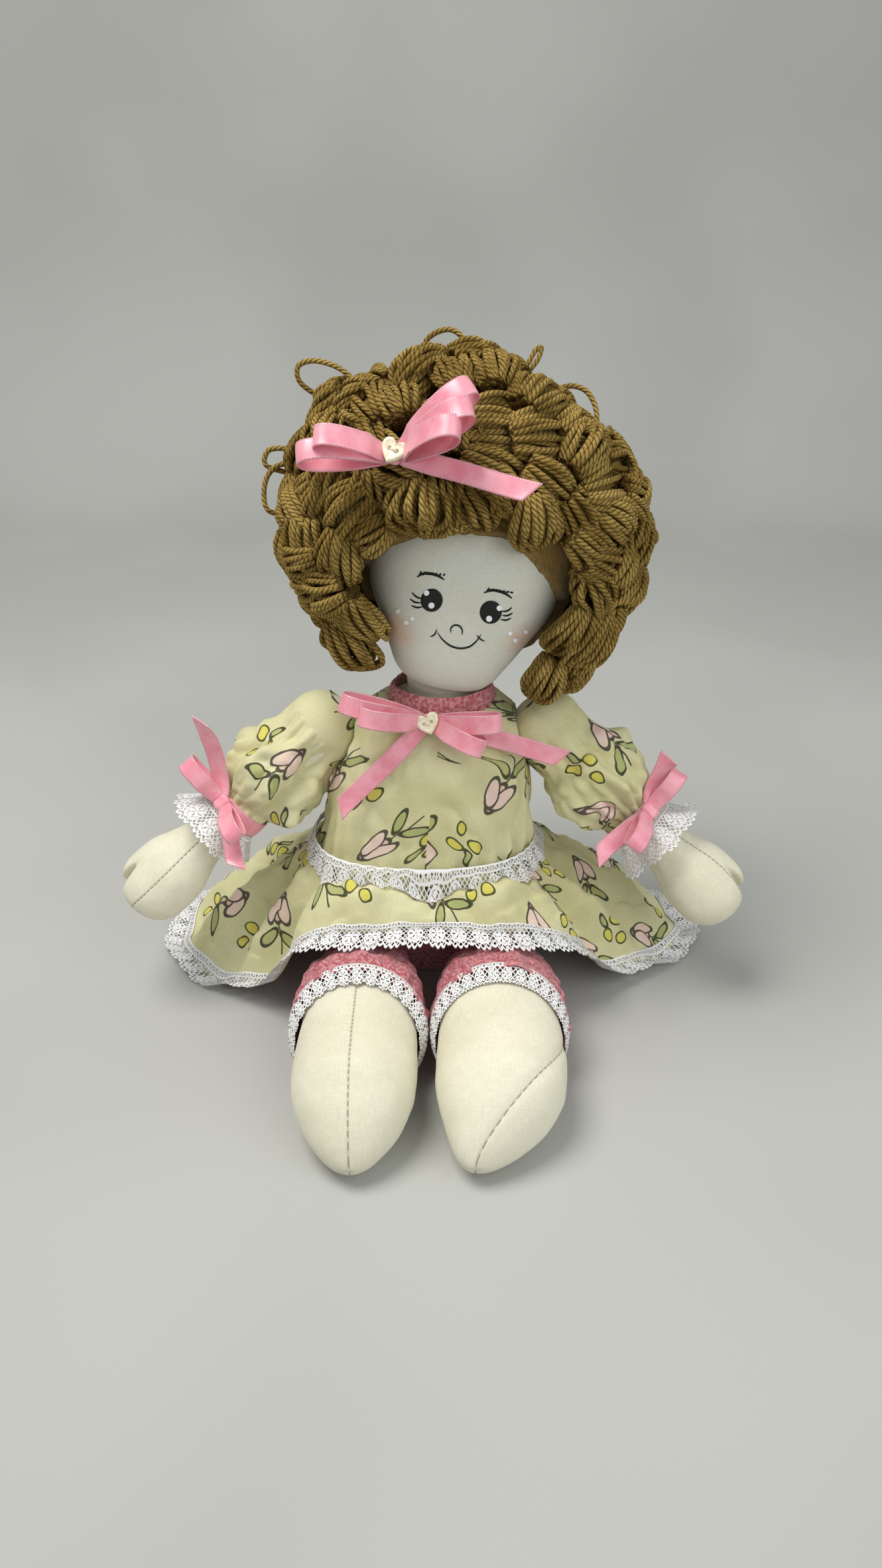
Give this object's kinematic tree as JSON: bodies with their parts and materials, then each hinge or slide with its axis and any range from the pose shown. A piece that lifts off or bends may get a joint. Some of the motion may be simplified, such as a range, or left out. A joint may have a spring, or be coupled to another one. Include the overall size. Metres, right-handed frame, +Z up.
{
  "type": "rag doll",
  "caption": "Seated stuffed cloth doll with a yarn wig, gathered dress, bloomers and ribbon bows; the head nods and tilts, the arms lift and the legs swing at sewn joints.",
  "frame": {"origin": "on the flat seat that the doll rests on, in the seat's front half", "axes": "+Z up, -Y the way the doll faces, +X towards the doll's own left hand"},
  "size_m": [0.3342, 0.2733, 0.3328],
  "materials": {
    "muslin": "plain woven off-white cotton over soft stuffing, matte",
    "dress_print": "plain woven pale sage cotton with a small flower print, matte",
    "rose_cotton": "mottled rose pink cotton, matte",
    "lace": "white cotton bobbin lace with open meshes",
    "ribbon": "pink satin ribbon, soft sheen",
    "button": "cream, smooth with a low gloss",
    "felt": "combed golden brown wool fibres",
    "yarn": "golden brown plied yarn, matte"
  },
  "bodies": {
    "body": {"torso": "muslin", "bodice": "dress_print", "collar": "rose_cotton", "skirt": "dress_print", "skirt_lace": "lace", "waist_lace": "lace", "bloomers_seat": "rose_cotton", "neck_bow_knot": "ribbon", "neck_bow_right_loops": "ribbon", "neck_bow_left_loops": "ribbon", "neck_bow_right_tail": "ribbon", "neck_bow_left_tail": "ribbon", "neck_button": "button"},
    "neck": {"neck": "muslin"},
    "head": {"head": "muslin", "wig_cap": "felt", "curl_fringe_middle": "yarn", "curl_fringe_right": "yarn", "curl_fringe_left": "yarn", "curl_crown_right": "yarn", "curl_crown_left": "yarn", "curl_crown_back": "yarn", "curl_temple_right": "yarn", "curl_temple_left": "yarn", "curl_upper_back_right": "yarn", "curl_upper_back_left": "yarn", "curl_cheek_right": "yarn", "curl_cheek_left": "yarn", "curl_lower_back_right": "yarn", "curl_lower_back_left": "yarn", "curl_nape": "yarn", "curl_shoulder_right": "yarn", "curl_shoulder_left": "yarn", "hair_bow_knot": "ribbon", "hair_bow_right_loops": "ribbon", "hair_bow_left_loops": "ribbon", "hair_bow_tail": "ribbon", "hair_button": "button"},
    "right_arm": {"right_arm": "muslin", "right_sleeve": "dress_print", "right_cuff_lace": "lace", "right_cuff_ribbon": "ribbon", "right_cuff_bow": "ribbon"},
    "left_arm": {"left_arm": "muslin", "left_sleeve": "dress_print", "left_cuff_lace": "lace", "left_cuff_ribbon": "ribbon", "left_cuff_bow": "ribbon"},
    "right_leg": {"right_leg": "muslin", "right_bloomer_leg": "rose_cotton", "right_bloomer_lace": "lace"},
    "left_leg": {"left_leg": "muslin", "left_bloomer_leg": "rose_cotton", "left_bloomer_lace": "lace"}
  },
  "joints": [
    {"name": "neck_nod", "type": "hinge", "parent": "body", "child": "neck", "pos_m": [0.0035, 0.01408, 0.16], "axis": [1, 0, 0], "range_deg": [-8, 8]},
    {"name": "head_tilt", "type": "hinge", "parent": "neck", "child": "head", "pos_m": [0.0035, 0.01408, 0.176], "axis": [0, 1, 0], "range_deg": [-10, 5]},
    {"name": "right_shoulder", "type": "hinge", "parent": "body", "child": "right_arm", "pos_m": [-0.0595, 0.01376, 0.146], "axis": [0, 1, 0], "range_deg": [0, 45]},
    {"name": "left_shoulder", "type": "hinge", "parent": "body", "child": "left_arm", "pos_m": [0.0587, 0.01376, 0.146], "axis": [0, -1, 0], "range_deg": [0, 45]},
    {"name": "right_hip", "type": "hinge", "parent": "body", "child": "right_leg", "pos_m": [-0.0383, -0.03791, 0.03], "axis": [1, 0, 0], "range_deg": [0, 80]},
    {"name": "left_hip", "type": "hinge", "parent": "body", "child": "left_leg", "pos_m": [0.0323, -0.03688, 0.03], "axis": [1, 0, 0], "range_deg": [0, 80]}
  ]
}
